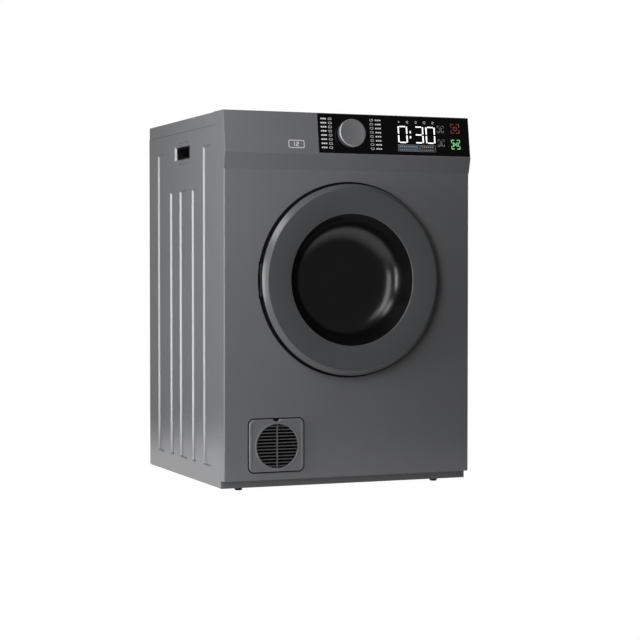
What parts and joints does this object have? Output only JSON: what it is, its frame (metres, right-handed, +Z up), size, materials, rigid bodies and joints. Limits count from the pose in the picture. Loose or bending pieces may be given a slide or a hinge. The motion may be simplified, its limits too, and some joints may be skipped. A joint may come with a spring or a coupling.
{
  "type": "clothes dryer",
  "caption": "Front-loading vented clothes dryer with round porthole door, rotary knob, glass display strip, side handles and a louvred exhaust grille low on the front.",
  "frame": {"origin": "middle of the overall box, on the floor under the feet", "axes": "+Z up, the door faces -Y, +X to the right of someone who faces the door"},
  "size_m": [0.595, 0.588, 0.84],
  "materials": {
    "cabinet_paint": "satin silver grey paint",
    "galvanised_sheet": "bare galvanised sheet",
    "fascia_plastic": "satin silver grey moulding",
    "black_plastic": "fine grained black moulding",
    "black_glass": "polished black",
    "cap_metal": "brushed",
    "door_plastic": "satin dark grey paint",
    "bowl_glass": "smoked, polished",
    "liner_plastic": "fine grained",
    "soft_rubber": "matt",
    "felt": "pressed wool felt",
    "zinc_steel": "zinc plated",
    "drum_steel": "brushed stainless",
    "white_plastic": "plain moulding",
    "board": "green laminate",
    "motor_metal": "black lacquered steel",
    "heater_metal": "plain fins",
    "duct_plastic": "plain moulding"
  },
  "bodies": {
    "cabinet": {"base_pan": "galvanised_sheet", "blower_housing": "duct_plastic", "cabinet_screws": "zinc_steel", "control_box": "white_plastic", "control_fascia": "fascia_plastic", "control_glass": "black_glass", "cord_gland": "black_plastic", "display_board": "board", "door_latch": "black_plastic", "drive_belt": "soft_rubber", "exhaust_duct": "duct_plastic", "filter_duct": "duct_plastic", "front_bulkhead": "galvanised_sheet", "front_crossbar": "galvanised_sheet", "front_felt": "felt", "front_panel": "cabinet_paint", "heater": "heater_metal", "hinge_bracket": "motor_metal", "idler_spring": "zinc_steel", "left_handle_cup": "black_plastic", "left_side_panel": "cabinet_paint", "main_board": "board", "motor_bracket": "galvanised_sheet", "motor_case": "motor_metal", "plinth": "cabinet_paint", "rear_air_duct": "galvanised_sheet", "rear_bearing": "motor_metal", "rear_bulkhead": "galvanised_sheet", "rear_felt": "felt", "rear_panel": "galvanised_sheet", "right_handle_cup": "black_plastic", "right_side_panel": "cabinet_paint", "throat_ring": "liner_plastic", "top_cover": "cabinet_paint"},
    "door": {"door_frame": "door_plastic", "door_glass": "bowl_glass", "door_liner": "liner_plastic", "door_seal": "soft_rubber", "hinge_leaf": "motor_metal", "door_strike": "zinc_steel", "door_screws": "zinc_steel"},
    "drum": {"drum_shell": "drum_steel", "drum_back": "drum_steel", "lifters": "white_plastic", "drum_shaft": "zinc_steel"},
    "motor": {"motor_rotor": "motor_metal", "motor_pulley": "zinc_steel", "blower_wheel": "black_plastic"},
    "idler_arm": {"idler_arm": "zinc_steel"},
    "idler_wheel": {"idler_wheel": "black_plastic"},
    "roller_left": {"drum_roller_left": "soft_rubber"},
    "roller_right": {"drum_roller_right": "soft_rubber"},
    "knob": {"knob_base": "black_plastic", "knob_cap": "cap_metal"},
    "filter": {"lint_filter": "black_plastic"},
    "grille": {"exhaust_grille": "fascia_plastic"},
    "foot_front_left": {"foot_front_left": "soft_rubber"},
    "foot_front_right": {"foot_front_right": "soft_rubber"},
    "foot_rear_left": {"foot_rear_left": "soft_rubber"},
    "foot_rear_right": {"foot_rear_right": "soft_rubber"}
  },
  "joints": [
    {"name": "door_swing", "type": "hinge", "parent": "cabinet", "child": "door", "pos_m": [-0.212, -0.2745, 0.4687], "axis": [0, 0, -1], "range_deg": [0, 120]},
    {"name": "drum_spin", "type": "hinge", "parent": "cabinet", "child": "drum", "pos_m": [0, 0, 0.4687], "axis": [0, 1, 0], "continuous": true},
    {"name": "motor_spin", "type": "hinge", "parent": "cabinet", "child": "motor", "pos_m": [0.04, -0.038, 0.105], "axis": [0, 1, 0], "continuous": true},
    {"name": "roller_left_spin", "type": "hinge", "parent": "cabinet", "child": "roller_left", "pos_m": [-0.19227, -0.19, 0.2226], "axis": [0, 1, 0], "continuous": true},
    {"name": "roller_right_spin", "type": "hinge", "parent": "cabinet", "child": "roller_right", "pos_m": [0.19227, -0.19, 0.2226], "axis": [0, 1, 0], "continuous": true},
    {"name": "idler_swing", "type": "hinge", "parent": "cabinet", "child": "idler_arm", "pos_m": [-0.105, 0.048, 0.072], "axis": [0, 1, 0], "range_deg": [-2, 4], "stiffness_Nm_per_rad": 30, "deforming": ["drive_belt", "idler_spring"]},
    {"name": "idler_spin", "type": "hinge", "parent": "idler_arm", "child": "idler_wheel", "pos_m": [-0.038, 0.062, 0.126], "axis": [0, 1, 0], "continuous": true},
    {"name": "knob_turn", "type": "hinge", "parent": "cabinet", "child": "knob", "pos_m": [0, -0.27013, 0.79419], "axis": [0, -0.9891, 0.1474], "continuous": true},
    {"name": "filter_lift", "type": "slide", "parent": "cabinet", "child": "filter", "axis": [0, 0, 1], "range_m": [0, 0.035]},
    {"name": "grille_pull", "type": "slide", "parent": "cabinet", "child": "grille", "axis": [0, -1, 0], "range_m": [0, 0.2]},
    {"name": "foot_front_left_screw", "type": "slide", "parent": "cabinet", "child": "foot_front_left", "axis": [0, 0, -1], "range_m": [0, 0.012]},
    {"name": "foot_front_right_screw", "type": "slide", "parent": "cabinet", "child": "foot_front_right", "axis": [0, 0, -1], "range_m": [0, 0.012]},
    {"name": "foot_rear_left_screw", "type": "slide", "parent": "cabinet", "child": "foot_rear_left", "axis": [0, 0, -1], "range_m": [0, 0.012]},
    {"name": "foot_rear_right_screw", "type": "slide", "parent": "cabinet", "child": "foot_rear_right", "axis": [0, 0, -1], "range_m": [0, 0.012]}
  ],
  "couplings": [
    {"joint": "motor_spin", "follows": "drum_spin", "ratio": 20.63},
    {"joint": "idler_spin", "follows": "drum_spin", "ratio": -12.954},
    {"joint": "roller_left_spin", "follows": "drum_spin", "ratio": -7.9143},
    {"joint": "roller_right_spin", "follows": "drum_spin", "ratio": -7.9143}
  ]
}
